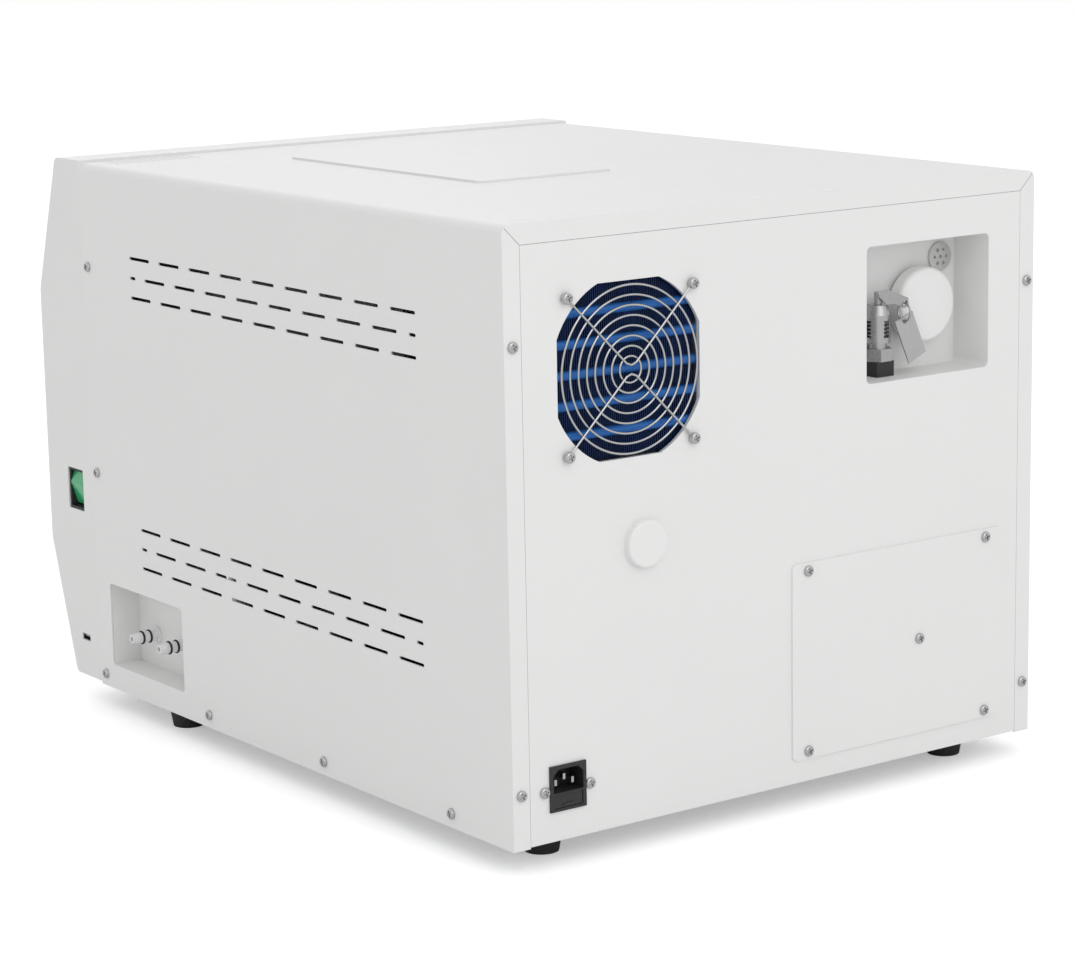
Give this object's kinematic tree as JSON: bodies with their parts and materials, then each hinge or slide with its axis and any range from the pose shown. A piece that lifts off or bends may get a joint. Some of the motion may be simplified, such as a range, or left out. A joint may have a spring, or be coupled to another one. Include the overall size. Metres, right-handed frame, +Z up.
{
  "type": "benchtop autoclave",
  "caption": "Front-loading benchtop steam steriliser with swing door, chamber and trays, water tanks, rear fan condenser, safety valve and mains inlet.",
  "frame": {"origin": "on the resting plane under the middle of the bounding box", "axes": "+Z up, the door faces -Y, +X is to the right of someone facing the door"},
  "size_m": [0.4758, 0.6774, 0.4363],
  "materials": {
    "white_coat": "fine textured powder coat",
    "zinc_sheet": "zinc plated sheet",
    "white_plastic": "fine grain moulding",
    "stainless": "brushed stainless",
    "bright_metal": "plated",
    "black_rubber": "matt",
    "pale_silicone": "smooth",
    "black_plastic": "fine grain moulding",
    "blue_fins": "hydrophilic coated fin stock",
    "blue_tube": "coated tube",
    "green_rocker": "translucent moulding",
    "tank_plastic": "blown tank",
    "quilt": "glass fibre blanket",
    "panel_grey": "smooth moulding",
    "button_grey": "soft moulding",
    "lens": "tinted window",
    "board": "circuit board",
    "unit_paint": "machine paint",
    "valve_brass": "machined",
    "tag_plate": "plain plate"
  },
  "bodies": {
    "case": {"outer_cover": "white_coat", "rear_panel": "white_coat", "rear_recess_box": "white_coat", "access_panel": "white_coat", "water_niche": "white_coat", "base_plate": "zinc_sheet", "tank_shelf": "zinc_sheet", "chamber_saddles": "zinc_sheet", "condenser_frame": "zinc_sheet", "hinge_bracket": "zinc_sheet", "front_bezel": "white_plastic", "port_cap": "white_plastic", "air_filter": "white_plastic", "water_connectors": "white_plastic", "pressure_chamber": "stainless", "tray_rack": "stainless", "instrument_trays": "stainless", "lock_strike": "stainless", "hinge_pin": "stainless", "vent_disc": "stainless", "steam_generator": "stainless", "fan_guard": "bright_metal", "cover_screws": "bright_metal", "rear_screws": "bright_metal", "inlet_pins": "bright_metal", "safety_valve": "bright_metal", "usb_port": "bright_metal", "rubber_foot_set": "black_rubber", "connector_seals": "black_rubber", "fan_frame": "black_plastic", "inlet_body": "black_plastic", "power_switch_frame": "black_plastic", "valve_base": "black_plastic", "condenser_fins": "blue_fins", "condenser_tubes": "blue_tube", "twin_water_tank": "tank_plastic", "chamber_insulation": "quilt", "control_panel": "panel_grey", "display_lens": "lens", "control_board": "board", "vacuum_pump": "unit_paint", "water_pump": "unit_paint", "solenoid_valves": "valve_brass"},
    "door": {"door_cover": "white_plastic", "door_plate": "stainless", "door_gasket": "pale_silicone", "door_arm": "zinc_sheet"},
    "handle": {"door_handle": "panel_grey"},
    "lock": {"lock_slide": "stainless"},
    "rocker": {"power_rocker": "green_rocker"},
    "start": {"start_button": "button_grey"},
    "stop": {"stop_button": "button_grey"},
    "up": {"up_button": "button_grey"},
    "down": {"down_button": "button_grey"},
    "lid": {"tank_lid": "white_plastic"},
    "drawer": {"fuse_drawer": "black_plastic"},
    "lever": {"valve_test_lever": "bright_metal"},
    "tag": {"tag_ring": "bright_metal", "valve_tag": "tag_plate"},
    "fan": {"fan_rotor": "black_plastic"}
  },
  "joints": [
    {"name": "door_hinge", "type": "hinge", "parent": "case", "child": "door", "pos_m": [-0.209, -0.30645, 0.177], "axis": [0, 0, -1], "range_deg": [0, 105]},
    {"name": "handle_turn", "type": "hinge", "parent": "door", "child": "handle", "pos_m": [0.05, -0.31195, 0.177], "axis": [0, 1, 0], "range_deg": [0, 60]},
    {"name": "lock_travel", "type": "slide", "parent": "door", "child": "lock", "axis": [1, 0, 0], "range_m": [0, 0.012]},
    {"name": "power_rocker_tilt", "type": "hinge", "parent": "case", "child": "rocker", "pos_m": [0.22375, -0.26295, 0.17175], "axis": [0, -1, 0], "range_deg": [0, 12]},
    {"name": "tank_lid_lift", "type": "slide", "parent": "case", "child": "lid", "axis": [0, 0, 1], "range_m": [0, 0.05]},
    {"name": "fuse_drawer_slide", "type": "slide", "parent": "case", "child": "drawer", "axis": [0, 1, 0], "range_m": [0, 0.02]},
    {"name": "valve_lever_lift", "type": "hinge", "parent": "case", "child": "lever", "pos_m": [-0.107, 0.32155, 0.353], "axis": [0, 1, 0], "range_deg": [0, 25]},
    {"name": "tag_swing", "type": "hinge", "parent": "lever", "child": "tag", "pos_m": [-0.121, 0.32155, 0.348], "axis": [1, 0, 0], "range_deg": [0, 30]},
    {"name": "fan_spin", "type": "hinge", "parent": "case", "child": "fan", "pos_m": [0.1342, 0.27355, 0.3305], "axis": [0, 1, 0], "continuous": true},
    {"name": "start_press", "type": "slide", "parent": "case", "child": "start", "axis": [0, 0.9502, -0.3117], "range_m": [0, 0.0012], "stiffness_N_per_m": 300},
    {"name": "stop_press", "type": "slide", "parent": "case", "child": "stop", "axis": [0, 0.9502, -0.3117], "range_m": [0, 0.0012], "stiffness_N_per_m": 300},
    {"name": "up_press", "type": "slide", "parent": "case", "child": "up", "axis": [0, 0.9502, -0.3117], "range_m": [0, 0.0012], "stiffness_N_per_m": 300},
    {"name": "down_press", "type": "slide", "parent": "case", "child": "down", "axis": [0, 0.9502, -0.3117], "range_m": [0, 0.0012], "stiffness_N_per_m": 300}
  ],
  "couplings": [
    {"joint": "handle_turn", "follows": "lock_travel", "rad_per_m": 87.26}
  ]
}
